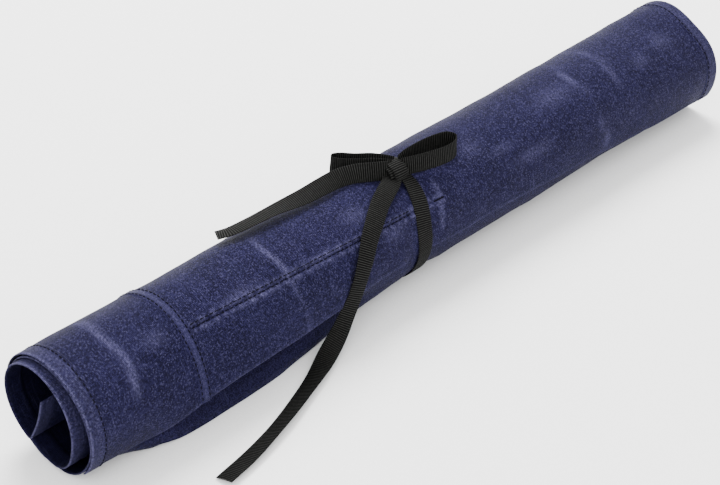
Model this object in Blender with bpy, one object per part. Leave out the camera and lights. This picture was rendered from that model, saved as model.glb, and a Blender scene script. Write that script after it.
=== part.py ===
"""Rolled canvas brush case, tied round its middle with a flat ribbon and a bow.

Units are metres, +Z up. The roll lies along X on the plane z = 0, its near end at -X and its free
edge on the -Y side. The origin is under the middle of the roll, without the loose ribbon.

The canvas is one sheet. Its place in the roll is counted in turns from the front (-Y side):
0 is the front, 0.25 the top, 0.5 the back, 0.75 the underside, and 1 the front again, one layer in.
"""

import math

import bpy
import numpy as np

# Driving dimensions
ROLL_RADIUS = 0.029
ROLL_LENGTH = 0.4322
AXIS_HEIGHT = 0.0283
NEAR_X = -0.2141
FAR_X = NEAR_X + ROLL_LENGTH

CANVAS_THICKNESS = 0.0008
POCKET_THICKNESS = 0.0004
GAP = 0.0003
LAYER_PITCH = CANVAS_THICKNESS + POCKET_THICKNESS + 2 * GAP

STEP_DEGREES = 12.0
EDGE_COLUMNS = 5
EDGE_COLUMNS_END = 2
RAMP_START = 0.77
CORE_START = 1.70
CORE_TURN = 2.0
CORE_END = 2.66
CORE_SHIFT = 0.0036
CORE_DIRECTION = math.radians(47)
TELESCOPE = 0.0038

FLAP_RADIUS = 0.0025
FLAP_TURN = math.radians(97)
FLAP_LENGTH = 0.0265

TIE_X = -0.0100
RIBBON_WIDTH = 0.0093
RIBBON_THICKNESS = 0.0006
WAIST_DEPTH = 0.0010
WAIST_HALF_WIDTH = 0.0060
WAIST_FADE = 0.0100

LIP_MIDDLE = 0.855
LIP_HALF_WIDTH = 0.060

BAND_NEAR_X = -0.1563
BAND_FAR_X = -0.1507
BAND_THICKNESS = 0.0004
POCKET_MOUTH_X = 0.0080
HEM_WIDTH = 0.0085
ROW_END = 0.66
THREAD_RADIUS = 0.00025

# The free edge: station along the roll, and how far round it lies, in degrees past the front
EDGE_STATIONS = (-0.2141, -0.190, -0.172, -0.152, -0.114, -0.080, -0.050, -0.025, 0.045, 0.085, 0.125, 0.180, 0.2181)
EDGE_DEGREES = (45.0, 39.0, 30.0, 15.0, 13.0, 13.0, 11.0, 10.0, 9.0, 15.0, 20.0, 30.0, 33.0)
EDGE_LIFT = (0.0, 0.0010, 0.0026, 0.0030, 0.0030, 0.0018, 0.0, 0.0, 0.0, 0.0, 0.0, 0.0, 0.0)
# The lower layer spreads on the table by this much, on the near side of the tie
LIP_DEPTH = (0.0, 0.001, 0.0070, 0.0078, 0.0072, 0.0046, 0.0012, 0.0, 0.0, 0.0, 0.0, 0.0, 0.0)

CANVAS_STATIONS = (
    NEAR_X, -0.203, -0.188, -0.172, -0.155, -0.135, -0.112, -0.086, -0.058, -0.026, -0.016,
    -0.004, 0.006, 0.045, 0.095, 0.140, 0.180, 0.203, FAR_X,
)
POCKET_STATIONS = (
    -0.1555, -0.135, -0.112, -0.086, -0.058, -0.026, -0.016, -0.004, 0.006,
    POCKET_MOUTH_X,
)


def clear_scene():
    for thing in list(bpy.data.objects):
        bpy.data.objects.remove(thing, do_unlink=True)


def material(name, colour, roughness):
    made = bpy.data.materials.new(name)
    made.use_nodes = True
    shader = made.node_tree.nodes["Principled BSDF"]
    shader.inputs["Base Color"].default_value = (*colour, 1.0)
    shader.inputs["Roughness"].default_value = roughness
    shader.inputs["Metallic"].default_value = 0.0
    return made


def smooth(value):
    """Eases from 0 to 1 as value goes from 0 to 1."""
    held = np.clip(value, 0.0, 1.0)
    return held * held * (3.0 - 2.0 * held)


def along_edge(table, x):
    return float(np.interp(x, EDGE_STATIONS, table))


def edge_turn(x):
    """The free edge's place at station x, in turns: a little before the front."""
    return -along_edge(EDGE_DEGREES, x) / 360.0


def waist(turn, x):
    """How far the tie pulls the roll in at station x. The core, which slides, is drawn in wider."""
    half_width = WAIST_HALF_WIDTH + (TELESCOPE if turn > CORE_START else 0.0)
    return WAIST_DEPTH * (1.0 - smooth((abs(x - TIE_X) - half_width) / WAIST_FADE))


def layer_depth(turn, x):
    """How deep the sheet's outer face lies under the roll's outermost face."""
    first_lap = 1.0 + edge_turn(x)
    if turn < first_lap:
        return LAYER_PITCH * float(np.clip((turn - RAMP_START) / (first_lap - RAMP_START), 0.0, 1.0))
    return LAYER_PITCH * (1.0 + turn - first_lap)


def envelope(angle, x):
    """The roll's radius before the tie: round, but flattened on its upper front at the far end."""
    far = smooth((x - 0.12) / (FAR_X - 0.12))
    from_flat = (math.degrees(angle) - 118.0 + 180.0) % 360.0 - 180.0
    dent = 0.0045 * math.exp(-((from_flat / 36.0) ** 2))
    return ROLL_RADIUS + far * (0.0015 - dent)


def loose_edges(turn, x):
    """How far the flap's edge lifts, and how far the lower layer spreads out past it."""
    from_edge = turn - edge_turn(x)
    lift = along_edge(EDGE_LIFT, x) * float(np.clip(1.0 - from_edge / 0.12, 0.0, 1.0)) ** 2
    past = (turn - LIP_MIDDLE) / LIP_HALF_WIDTH
    spread = along_edge(LIP_DEPTH, x) * max(0.0, 1.0 - past * past) ** 2
    return lift + 1.3 * spread


def wound_point(turn, x):
    """(y, z) of the canvas's outer face on the wound part of the sheet."""
    angle = math.pi - 2.0 * math.pi * turn
    depth = layer_depth(turn, x)
    core = CORE_SHIFT * float(smooth((turn - CORE_START) / (CORE_TURN - CORE_START)))
    drawn_in = waist(turn, x)
    radius = envelope(angle, x) + loose_edges(turn, x) - drawn_in - depth - core
    y = core * math.cos(CORE_DIRECTION) + radius * math.cos(angle)
    z = AXIS_HEIGHT + core * math.sin(CORE_DIRECTION) + radius * math.sin(angle)
    return y, max(z, depth + drawn_in)


def sheet_turns(x, first, last):
    """Places from first past the free edge at x to last, on the same angles in every lap."""
    step = STEP_DEGREES / 360.0
    near_edge = np.linspace(edge_turn(x) + first, EDGE_COLUMNS_END * step, EDGE_COLUMNS, endpoint=False)
    regular = np.arange(EDGE_COLUMNS_END, math.floor(last / step - 0.4) + 1) * step
    return [*near_edge, *regular, last]


def flap_points(end, before):
    """(y, z) of the inner end: folded over on a small arc, then straight across the hollow."""
    heading = math.atan2(end[1] - before[1], end[0] - before[0])
    points = []
    y, z = end
    steps = 4
    for index in range(steps):
        turned = heading - FLAP_TURN * (index + 0.5) / steps
        chord = 2.0 * FLAP_RADIUS * math.sin(FLAP_TURN / steps / 2.0)
        y += chord * math.cos(turned)
        z += chord * math.sin(turned)
        points.append((y, z))
    across = heading - FLAP_TURN
    for share in (0.5, 1.0):
        reach = FLAP_LENGTH * share
        points.append((y + reach * math.cos(across), z + reach * math.sin(across)))
    return points


def section(x, first, last, with_flap):
    """The sheet's outer face at station x: its (y, z) points, and their places in turns."""
    turns = sheet_turns(x, first, last)
    points = [wound_point(turn, x) for turn in turns]
    if with_flap:
        extra = flap_points(points[-1], points[-2])
        points += extra
        turns += [last] * len(extra)
    return np.array(points), np.array(turns)


def pushed_in(points, depth):
    """The points moved inwards by depth, square to the sheet."""
    along = np.gradient(points, axis=0)
    along /= np.linalg.norm(along, axis=1, keepdims=True)
    inwards = np.stack([along[:, 1], -along[:, 0]], axis=1)
    return points + depth * inwards


def telescoped(turns):
    """How far each place sticks out at the near end: the core slides out of the outer turns."""
    return -TELESCOPE * smooth((turns - 1.6) / 0.35)


def sheet(name, stations, first, last, depth, thickness, with_flap, look):
    """A rolled sheet: an outer and an inner face on one grid, joined round their border."""
    faces_of_sheet = []
    for level in (depth, depth + thickness):
        rows = []
        for x in stations:
            points, turns = section(x, first, last, with_flap)
            moved = pushed_in(points, level)
            rows.append(np.column_stack([x + telescoped(turns), moved]))
        faces_of_sheet.append(np.array(rows))
    return two_faced_solid(name, faces_of_sheet[0], faces_of_sheet[1], look)


def two_faced_solid(name, outer, inner, look):
    """A closed solid between two grids of points of the same shape."""
    rows, columns = outer.shape[:2]
    vertices = np.concatenate([outer.reshape(-1, 3), inner.reshape(-1, 3)])
    under = rows * columns
    faces = []
    for row in range(rows - 1):
        for column in range(columns - 1):
            a = row * columns + column
            b = a + columns
            faces.append((a, a + 1, b + 1, b))
            faces.append((under + a, under + b, under + b + 1, under + a + 1))
    for column in range(columns - 1):
        last = (rows - 1) * columns + column
        faces.append((column, under + column, under + column + 1, column + 1))
        faces.append((last, last + 1, under + last + 1, under + last))
    for row in range(rows - 1):
        a = row * columns
        b = a + columns - 1
        faces.append((a, a + columns, under + a + columns, under + a))
        faces.append((b, under + b, under + b + columns, b + columns))
    return solid(name, vertices, faces, look)


def solid(name, vertices, faces, look):
    mesh = bpy.data.meshes.new(name)
    mesh.from_pydata([tuple(point) for point in vertices], [], faces)
    mesh.validate()
    piece = bpy.data.objects.new(name, mesh)
    bpy.context.scene.collection.objects.link(piece)
    face_outwards(mesh)
    mesh.shade_smooth()
    mesh.set_sharp_from_angle(angle=math.radians(40))
    mesh.materials.append(look)
    return piece


def face_outwards(mesh):
    """Turns every face round if the closed mesh's signed volume is negative."""
    mesh.calc_loop_triangles()
    volume = 0.0
    for triangle in mesh.loop_triangles:
        a, b, c = (mesh.vertices[index].co for index in triangle.vertices)
        volume += a.dot(b.cross(c))
    if volume < 0.0:
        mesh.flip_normals()


def outer_rows(stations, first, last, lift):
    """Points on the outer turn from place first past the free edge to place last, lifted off it."""
    rows = []
    for x in stations:
        turns = sheet_turns(x, first, last)
        points = np.array([wound_point(turn, x) for turn in turns])
        rows.append(np.column_stack([np.full(len(turns), x), pushed_in(points, -lift)]))
    return np.array(rows)


def thread(name, points, look, radius=THREAD_RADIUS):
    """A row of stitching as one thin thread: a poly curve with a round bevel and filled caps."""
    curve = bpy.data.curves.new(name, "CURVE")
    curve.dimensions = "3D"
    curve.bevel_depth = radius
    curve.bevel_resolution = 0
    curve.use_fill_caps = True
    spline = curve.splines.new("POLY")
    spline.points.add(len(points) - 1)
    for place, point in zip(spline.points, points):
        place.co = (*point, 1.0)
    piece = bpy.data.objects.new(name, curve)
    bpy.context.scene.collection.objects.link(piece)
    curve.materials.append(look)
    return piece


def ring_row(name, x, height, look):
    """Stitching that runs round the outer turn at station x."""
    points = outer_rows((x,), 0.012, ROW_END, height + GAP + THREAD_RADIUS)[0]
    return thread(name, points, look)


def long_row(name, first_x, last_x, first_degrees, last_degrees, look):
    """Stitching that runs along the roll, from one angle above the +Y side to another."""
    points = []
    between = [x for x in CANVAS_STATIONS if first_x < x < last_x]
    for x in (first_x, *between, last_x):
        share = (x - first_x) / (last_x - first_x)
        degrees = first_degrees + share * (last_degrees - first_degrees)
        turn = (180.0 - degrees) / 360.0
        pair = np.array([wound_point(turn - 0.01, x), wound_point(turn, x), wound_point(turn + 0.01, x)])
        lifted = pushed_in(pair, -(GAP + THREAD_RADIUS))[1]
        points.append((x, *lifted))
    return thread(name, points, look)


def seam_band(look):
    """The flat tape sewn round the outside over the pocket's closed end."""
    stations = (BAND_NEAR_X, BAND_FAR_X)
    outer = outer_rows(stations, 0.006, ROW_END, GAP + BAND_THICKNESS)
    inner = outer_rows(stations, 0.006, ROW_END, GAP)
    return two_faced_solid("seam_band", outer, inner, look)


def ribbon_wrap(look):
    """The ribbon's turn round the roll: a closed flat ring in the waist that it pulls."""
    inner_radius = ROLL_RADIUS - WAIST_DEPTH + GAP
    count = round(360.0 / STEP_DEGREES)
    corners = (
        (TIE_X - RIBBON_WIDTH / 2, inner_radius),
        (TIE_X + RIBBON_WIDTH / 2, inner_radius),
        (TIE_X + RIBBON_WIDTH / 2, inner_radius + RIBBON_THICKNESS),
        (TIE_X - RIBBON_WIDTH / 2, inner_radius + RIBBON_THICKNESS),
    )
    vertices = []
    faces = []
    for index in range(count):
        angle = 2.0 * math.pi * index / count
        for x, radius in corners:
            floor = WAIST_DEPTH - GAP - (radius - inner_radius)
            z = max(AXIS_HEIGHT + radius * math.sin(angle), floor)
            vertices.append((x, radius * math.cos(angle), z))
        here = index * 4
        there = (index + 1) % count * 4
        for side in range(4):
            other = (side + 1) % 4
            faces.append((here + side, here + other, there + other, there + side))
    return solid("ribbon_wrap", vertices, faces, look)


def smooth_path(points, spacing):
    """Points about spacing apart on a centripetal Catmull-Rom curve through the given ones."""
    given = np.array(points, dtype=float)
    padded = np.vstack([2 * given[0] - given[1], given, 2 * given[-1] - given[-2]])
    dense = []
    for index in range(1, len(padded) - 2):
        p = padded[index - 1:index + 3]
        knots = np.concatenate([[0.0], np.cumsum(np.linalg.norm(np.diff(p[:, :3], axis=0), axis=1) ** 0.5)])
        for t in np.linspace(knots[1], knots[2], 12, endpoint=False):
            a = [((knots[k + 1] - t) * p[k] + (t - knots[k]) * p[k + 1]) / (knots[k + 1] - knots[k]) for k in range(3)]
            b = [((knots[k + 2] - t) * a[k] + (t - knots[k]) * a[k + 1]) / (knots[k + 2] - knots[k]) for k in range(2)]
            dense.append(((knots[2] - t) * b[0] + (t - knots[1]) * b[1]) / (knots[2] - knots[1]))
    dense.append(given[-1])
    dense = np.array(dense)
    run = np.concatenate([[0.0], np.cumsum(np.linalg.norm(np.diff(dense[:, :3], axis=0), axis=1))])
    count = max(4, round(run[-1] / spacing) + 1)
    at = np.linspace(0.0, run[-1], count)
    return np.column_stack([np.interp(at, run, dense[:, axis]) for axis in range(dense.shape[1])])


def ribbon(name, route, look):
    """A flat ribbon along a route of (x, y, z, and the direction its face looks in), in millimetres."""
    path = smooth_path([(*np.array(point[:3]) / 1000.0, *point[3:]) for point in route], 0.0045)
    centres = path[:, :3]
    along = np.gradient(centres, axis=0)
    along /= np.linalg.norm(along, axis=1, keepdims=True)
    across = np.cross(along, path[:, 3:])
    across /= np.linalg.norm(across, axis=1, keepdims=True)
    facing = np.cross(across, along)
    side = across * RIBBON_WIDTH / 2
    half = facing * RIBBON_THICKNESS / 2
    outer = np.stack([centres - side + half, centres + side + half], axis=1)
    inner = np.stack([centres - side - half, centres + side - half], axis=1)
    return two_faced_solid(name, outer, inner, look)


# Routes: x, y, z in millimetres, then the direction that the ribbon's face looks in
TAIL_FRONT = (
    (-17.2, -10.5, 57.7, -0.1, -0.42, 0.9),
    (-23.4, -13.3, 56.7, -0.1, -0.48, 0.87),
    (-30.0, -15.9, 54.4, -0.1, -0.55, 0.83),
    (-38.8, -20.8, 50.6, -0.1, -0.7, 0.7),
    (-45.8, -24.6, 46.4, -0.1, -0.83, 0.55),
    (-52.1, -28.3, 39.9, -0.1, -0.93, 0.35),
    (-57.2, -30.3, 32.9, -0.1, -0.99, 0.1),
    (-61.6, -30.8, 25.4, -0.1, -0.99, 0.0),
    (-66.7, -30.8, 17.8, -0.15, -0.95, 0.2),
    (-73.0, -31.5, 10.4, -0.2, -0.8, 0.55),
    (-82.4, -33.9, 5.2, -0.2, -0.4, 0.88),
    (-94.8, -38.8, 2.9, -0.15, 0.1, 0.97),
    (-109.1, -44.2, 2.4, -0.12, 0.33, 0.93),
    (-123.8, -49.5, 2.4, -0.12, 0.37, 0.92),
    (-138.5, -53.8, 2.2, -0.1, 0.33, 0.94),
    (-153.3, -57.3, 1.9, -0.08, 0.27, 0.96),
    (-170.2, -59.9, 1.6, -0.06, 0.2, 0.98),
)
TAIL_LEFT = (
    (-17.0, -4.7, 61.6, 0.15, -0.95, 0.28),
    (-21.4, -2.2, 61.9, 0.15, -0.92, 0.36),
    (-28.0, 2.6, 61.8, 0.1, -0.8, 0.6),
    (-35.6, 5.5, 61.6, 0.1, -0.68, 0.72),
    (-45.1, 6.3, 61.4, 0.05, -0.5, 0.85),
    (-56.6, 7.0, 60.8, 0.0, -0.28, 0.96),
    (-73.4, 9.1, 60.4, 0.0, 0.05, 1.0),
    (-89.5, 10.6, 59.8, 0.0, 0.18, 0.98),
    (-98.4, 12.1, 59.2, 0.0, 0.22, 0.97),
    (-104.1, 15.3, 58.2, 0.0, 0.24, 0.97),
)
LOOP_RIGHT = (
    (-1.2, -9.6, 60.1, -0.35, -0.93, 0.12),
    (8.0, -13.0, 60.2, -0.2, -0.97, 0.12),
    (17.0, -15.0, 60.3, 0.0, -0.99, 0.12),
    (23.0, -14.6, 60.7, 0.6, -0.8, 0.1),
    (26.4, -11.4, 61.0, 1.0, 0.1, 0.0),
    (24.6, -7.8, 61.4, 0.4, 0.9, -0.1),
    (17.8, -5.8, 61.9, 0.15, 0.98, -0.12),
    (9.1, -4.8, 62.0, 0.05, 0.99, -0.12),
    (-1.6, -5.0, 61.9, 0.0, 0.99, -0.12),
)
LOOP_LEFT = (
    (-18.2, 0.6, 62.0, -0.75, -0.62, 0.2),
    (-21.4, 3.6, 61.8, -0.75, -0.62, 0.2),
    (-24.8, 7.6, 61.4, -0.75, -0.62, 0.2),
    (-28.4, 13.0, 60.9, -0.85, -0.45, 0.2),
    (-29.4, 17.2, 60.6, -0.9, 0.3, 0.1),
    (-27.2, 19.0, 60.6, -0.1, 1.0, 0.0),
    (-24.4, 16.4, 60.8, 0.75, 0.6, -0.15),
    (-20.6, 10.0, 61.4, 0.75, 0.62, -0.2),
    (-15.2, 3.2, 62.1, 0.75, 0.62, -0.2),
)


def bow_knot(look):
    """The knot: a small pillow of wound ribbon on top of the wrap, flat underneath."""
    rings = 9
    sides = 18
    centre = np.array((-0.0096, -0.0054, 0.0602))
    radii = np.array((0.0070, 0.0060, 0.0030))
    vertices = []
    for ring in range(1, rings):
        tilt = math.pi * ring / rings
        for side in range(sides):
            angle = 2.0 * math.pi * side / sides
            direction = (math.sin(tilt) * math.cos(angle), math.sin(tilt) * math.sin(angle), math.cos(tilt))
            vertices.append(centre + radii * direction)
    vertices += [centre + radii * (0, 0, 1), centre - radii * (0, 0, 1)]
    top = len(vertices) - 2
    faces = []
    for ring in range(rings - 2):
        for side in range(sides):
            a = ring * sides + side
            b = ring * sides + (side + 1) % sides
            faces.append((a, a + sides, b + sides, b))
    last_ring = (rings - 2) * sides
    for side in range(sides):
        other = (side + 1) % sides
        faces.append((top, side, other))
        faces.append((top + 1, last_ring + other, last_ring + side))
    return solid("bow_knot", vertices, faces, look)


def build():
    clear_scene()
    canvas = material("waxed_canvas", (0.055, 0.050, 0.130), 0.75)
    lining = material("pocket_canvas", (0.050, 0.046, 0.115), 0.80)
    band_tape = material("seam_tape", (0.085, 0.080, 0.190), 0.70)
    sewing = material("sewing_thread", (0.030, 0.028, 0.060), 0.60)
    tie = material("black_ribbon", (0.018, 0.019, 0.018), 0.65)

    sheet("canvas_panel", CANVAS_STATIONS, 0.0, CORE_END, 0.0, CANVAS_THICKNESS, True, canvas)
    sheet(
        "pocket_panel", POCKET_STATIONS, 0.05, CORE_END - 0.06,
        CANVAS_THICKNESS + GAP, POCKET_THICKNESS, False, lining,
    )
    seam_band(band_tape)
    ring_row("near_hem_stitching", NEAR_X + HEM_WIDTH, 0.0, sewing)
    ring_row("far_hem_stitching", FAR_X - HEM_WIDTH, 0.0, sewing)
    for name, x in (("near", BAND_NEAR_X + 0.0008), ("far", BAND_FAR_X - 0.0008)):
        ring_row(f"seam_band_stitching_{name}", x, GAP + BAND_THICKNESS, sewing)
    long_row("divider_stitching_front", BAND_FAR_X + 0.001, TIE_X - 0.0065, 132.0, 143.0, sewing)
    long_row("divider_stitching_back", BAND_FAR_X + 0.001, TIE_X - 0.0065, 34.0, 45.0, sewing)
    long_row("divider_bar_tack", 0.0, 0.0054, 144.5, 145.0, sewing)

    ribbon_wrap(tie)
    bow_knot(tie)
    ribbon("bow_loop_right", LOOP_RIGHT, tie)
    ribbon("bow_loop_left", LOOP_LEFT, tie)
    ribbon("ribbon_tail_left", TAIL_LEFT, tie)
    ribbon("ribbon_tail_front", TAIL_FRONT, tie)


build()
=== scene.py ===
"""Looks for a rolled canvas brush case, tied round its middle with a ribbed black ribbon.

The roll lies along X on z = 0, its near end at -X and its free edge on the -Y side. A place on the
sheet is (turn, x): turn counts laps from the front, 0.25 the top, 0.5 the back, 0.75 the underside.
Every cloth surface is one function of those two, worked out as whole arrays.
"""

import math

import bpy
import numpy as np
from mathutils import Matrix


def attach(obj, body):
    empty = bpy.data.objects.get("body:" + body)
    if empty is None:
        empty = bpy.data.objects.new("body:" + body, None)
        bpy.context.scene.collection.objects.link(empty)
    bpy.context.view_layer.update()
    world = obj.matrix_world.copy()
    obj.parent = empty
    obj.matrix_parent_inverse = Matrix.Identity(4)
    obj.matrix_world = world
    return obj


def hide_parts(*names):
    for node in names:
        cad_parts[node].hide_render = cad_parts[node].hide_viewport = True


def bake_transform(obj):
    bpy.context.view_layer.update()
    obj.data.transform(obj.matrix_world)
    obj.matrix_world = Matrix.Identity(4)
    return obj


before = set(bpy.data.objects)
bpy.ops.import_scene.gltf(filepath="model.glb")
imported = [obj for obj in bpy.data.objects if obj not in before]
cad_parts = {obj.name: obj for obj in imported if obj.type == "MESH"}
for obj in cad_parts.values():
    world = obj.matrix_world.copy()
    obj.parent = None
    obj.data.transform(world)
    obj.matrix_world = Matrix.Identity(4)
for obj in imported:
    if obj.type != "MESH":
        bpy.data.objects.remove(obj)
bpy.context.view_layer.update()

# The roll
ROLL_RADIUS = 0.029
AXIS_HEIGHT = 0.0283
NEAR_X = -0.2141
FAR_X = 0.2181
CORE_TURN = 2.0
CORE_END = 2.675
CORE_LEAVES = 1.70
CORE_SHIFT = 0.0037
CORE_DIRECTION = math.radians(47)
TELESCOPE = 0.0038
TELESCOPE_FROM = 1.6
TELESCOPE_OVER = 0.35
RAMP_START = 0.77
FLAP_RADIUS = 0.0022
FLAP_TURN = math.radians(99)
FLAP_LENGTH = 0.0285

# The cloth
CLOTH = 0.00055
LINING = 0.00025
PITCH = 0.00085
HEM_WIDTH = 0.0085
HEM_RISE = 0.00022
THREAD_PITCH = 0.00062
BAND_NEAR_X = -0.1563
BAND_FAR_X = -0.1507
BAND_RISE = 0.00042
POCKET_MOUTH_X = 0.0080
ROW_END = 0.70

# The tie
TIE_X = -0.0100
RIBBON_WIDTH = 0.0093
RIBBON_THICKNESS = 0.0006
RIB_PITCH = 0.00105
WAIST_DEPTH = 0.0009
WAIST_HALF_WIDTH = 0.0052
WAIST_FADE = 0.0110

# The free edge: stations along the roll, degrees past the front, how far it lifts, how far the
# layers behind it dent in, and how far the layer under it spreads on the table
EDGE_STATIONS = (
    NEAR_X, -0.190, -0.172, -0.152, -0.114, -0.080, -0.050, -0.025, 0.045, 0.085, 0.125, 0.180, FAR_X,
)
EDGE_DEGREES = (45.0, 39.0, 30.0, 15.0, 13.0, 13.0, 11.0, 10.0, 9.0, 15.0, 20.0, 30.0, 33.0)
EDGE_LIFT = (0.0, 0.0015, 0.0034, 0.0038, 0.0036, 0.0024, 0.0, 0.0, 0.0, 0.0006, 0.0008, 0.0008, 0.0006)
DENT_DEPTH = (0.0, 0.0006, 0.0030, 0.0044, 0.0044, 0.0036, 0.0010, 0.0, 0.0, 0.0, 0.0, 0.0, 0.0)
LIP_DEPTH = (0.0, 0.001, 0.0078, 0.0086, 0.0080, 0.0052, 0.0015, 0.0, 0.0, 0.0, 0.0, 0.0, 0.0)
# Where the dent and the spread layer lie, in turns
DENT_MIDDLE = 0.925
DENT_HALF_WIDTH = 0.055
LIP_MIDDLE = 0.855
LIP_HALF_WIDTH = 0.060
LIP_FULLNESS = 1.3

# The stitched row between two pockets: degrees above the +Y side where it starts and where it ends
DIVIDER_FROM = 132.0
DIVIDER_TO = 144.5
DIVIDER_END_X = 0.0054
BACK_DIVIDER_SHIFT = 98.0
GATHER_PITCH = 0.00085

# The stitches
STITCH_SPACING = 0.0027
THREAD_RADIUS = 0.00026
TACK_STITCHES = 13

LAP = 2.0 * math.pi * ROLL_RADIUS
# A small step, in turns, to find the outer turn's slope
SLOPE_STEP = 0.002
# The ribbon's two ends at the knot, in degrees above the +Y side
WRAP_START = 101.0
WRAP_END = 453.0


# ---------------------------------------------------------------- shape of the rolled sheet

def smooth(value):
    """Eases from 0 to 1 as value goes from 0 to 1."""
    held = np.clip(value, 0.0, 1.0)
    return held * held * (3.0 - 2.0 * held)


def ridge(distance, half_width):
    """1 on a line, falling to 0 either side of it as a bell curve."""
    return np.exp(-((distance / half_width) ** 2))


def along_edge(table, x):
    """A table read at x, averaged over 12 mm either side so that it has no corners."""
    offsets = np.linspace(-0.012, 0.012, 7)
    return sum(np.interp(x + offset, EDGE_STATIONS, table) for offset in offsets) / len(offsets)


def edge_turn(x):
    return -along_edge(EDGE_DEGREES, x) / 360.0


def divider_turn(x):
    """The stitched row's place at x: it climbs a little towards its far end."""
    share = (x - BAND_FAR_X) / (DIVIDER_END_X - BAND_FAR_X)
    return (180.0 - DIVIDER_FROM - share * (DIVIDER_TO - DIVIDER_FROM)) / 360.0


def tie_x(turn):
    """Where the ribbon crosses: it slants as it comes down the front."""
    return TIE_X + 0.0030 - 0.0060 * smooth((0.17 - turn) / 0.20)


def core_slide(turn):
    """How far the core has slid out of the near end: 0 on the outer turns."""
    return TELESCOPE * smooth((turn - TELESCOPE_FROM) / TELESCOPE_OVER)


def waist(turn, x):
    """How far the ribbon draws the roll in: most under it, fading on both sides."""
    slide = core_slide(turn)
    away = np.abs(x - tie_x(turn) + slide) - WAIST_HALF_WIDTH - 0.4 * slide
    return WAIST_DEPTH * (1.0 - smooth(away / WAIST_FADE))


def hem(x):
    """1 on the folded hem at either end, 0 between them."""
    from_rim = np.minimum(x - NEAR_X, FAR_X - x)
    return 1.0 - smooth((from_rim - HEM_WIDTH) / 0.0009)


def layer_depth(turn, x):
    """Depth of the sheet's outer face under the outermost one: it ramps in under the free edge,
    then goes one pitch deeper with every lap."""
    first_lap = 1.0 + edge_turn(x)
    pitch = PITCH + 0.00020 * hem(x)
    eased = np.clip((turn - RAMP_START) / (first_lap - RAMP_START), 0.0, 1.0)
    return pitch * np.where(turn < first_lap, eased, 1.0 + turn - first_lap)


def envelope(angle, x):
    """The roll's radius: round, but flattened on its upper front towards the far end."""
    far = smooth((x - 0.12) / (FAR_X - 0.12))
    from_flat = (np.degrees(angle) - 118.0 + 180.0) % 360.0 - 180.0
    return ROLL_RADIUS + far * (0.0015 - 0.0045 * ridge(from_flat, 36.0))


def loose_edges(turn, x):
    """How far the free edge lifts off, and the layer under it spreads out past a dent."""
    lift = along_edge(EDGE_LIFT, x) * np.clip(1.0 - (turn - edge_turn(x)) / 0.12, 0.0, 1.0) ** 2
    past = (turn - LIP_MIDDLE) / LIP_HALF_WIDTH
    spread = LIP_FULLNESS * along_edge(LIP_DEPTH, x) * np.clip(1.0 - past * past, 0.0, None) ** 2
    into = (turn % 1.0 - DENT_MIDDLE) / DENT_HALF_WIDTH
    dent = along_edge(DENT_DEPTH, x) * np.clip(1.0 - into * into, 0.0, None) ** 2
    return lift + spread - dent * (turn > 0.5)


def slack(turn, x):
    """The cloth's own unevenness, outwards: slow waves of slightly different lengths."""
    around = turn * LAP
    waves = (
        0.00022 * np.sin(x / 0.0170 + 3.1 * np.sin(around / 0.021))
        + 0.00016 * np.sin(around / 0.0088 + 2.0 * np.sin(x / 0.031) + 1.0)
        + 0.00010 * np.sin(x / 0.0061 + around / 0.0079)
        + 0.00006 * np.sin(x / 0.0036 - around / 0.0047 + 2.0)
    )
    return waves * (1.0 - 0.75 * hem(x)) * (1.0 - 0.9 * smooth((turn - 0.85) / 0.2))


def creases(turn, x):
    """Rubbed folds on the outer turn, 0 to 1: rings that wander round the roll, and short arcs."""
    degrees = 180.0 - 360.0 * turn
    sway = 0.0016 * np.sin(degrees / 23.0) + 0.0008 * np.sin(degrees / 9.0)
    rings = (
        0.85 * ridge(x + 0.0930 - sway, 0.0013) * (0.55 + 0.45 * np.sin(degrees / 17.0 + 1.0))
        + 0.60 * ridge(x - 0.1205 - 1.4 * sway, 0.0016) * (0.5 + 0.5 * np.sin(degrees / 13.0))
        + 0.40 * ridge(x - 0.1420 + sway, 0.0018) * smooth((150.0 - degrees) / 30.0)
        + 0.75 * ridge(x + 0.1880 - sway - 0.0045 * np.cos(np.radians(1.6 * (degrees - 110.0))), 0.0017)
        * smooth((degrees - 50.0) / 20.0) * smooth((168.0 - degrees) / 20.0)
    )
    bow = x + 0.0005 - 0.0062 * smooth((178.0 - degrees) / 60.0)
    kept = smooth((degrees - 122.0) / 10.0) * smooth((178.0 - degrees) / 12.0)
    arcs = 0.65 * ridge(bow, 0.0010) * kept
    return np.clip(rings + arcs, 0.0, 1.0) * (1.0 - smooth((turn - 0.72) / 0.08))


def scuffs(turn, x):
    """Lighter rubbed patches, 0 to 1: (x, degrees above the +Y side, half length, half height)."""
    degrees = 180.0 - 360.0 * turn
    patches = (
        (-0.168, 124.0, 0.0050, 7.0), (0.036, 117.0, 0.0060, 8.0), (0.188, 116.0, 0.0060, 9.0),
        (0.166, 126.0, 0.0050, 8.0), (0.052, 133.0, 0.0080, 5.0), (-0.045, 118.0, 0.0070, 9.0),
        (0.100, 112.0, 0.0140, 10.0), (-0.120, 128.0, 0.0100, 6.0), (-0.030, 152.0, 0.0060, 6.0),
        (0.070, 152.0, 0.0120, 7.0), (-0.070, 136.0, 0.0120, 4.0), (-0.110, 137.0, 0.0090, 3.0),
    )
    found = sum(ridge(x - at, long) * ridge(degrees - high, tall) for at, high, long, tall in patches)
    return np.clip(found, 0.0, 1.0)


def divider_share(x):
    """1 along the stitched row's length, 0 past its ends."""
    return smooth((x - BAND_FAR_X) / 0.002) * smooth((0.0075 - x) / 0.004)


def gathers(x):
    """The cloth's small gathers along the stitched row, 0 to 1: a wave whose pitch wanders."""
    return 0.5 + 0.5 * np.sin(x / GATHER_PITCH + 1.6 * np.sin(x / 0.0041))


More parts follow.
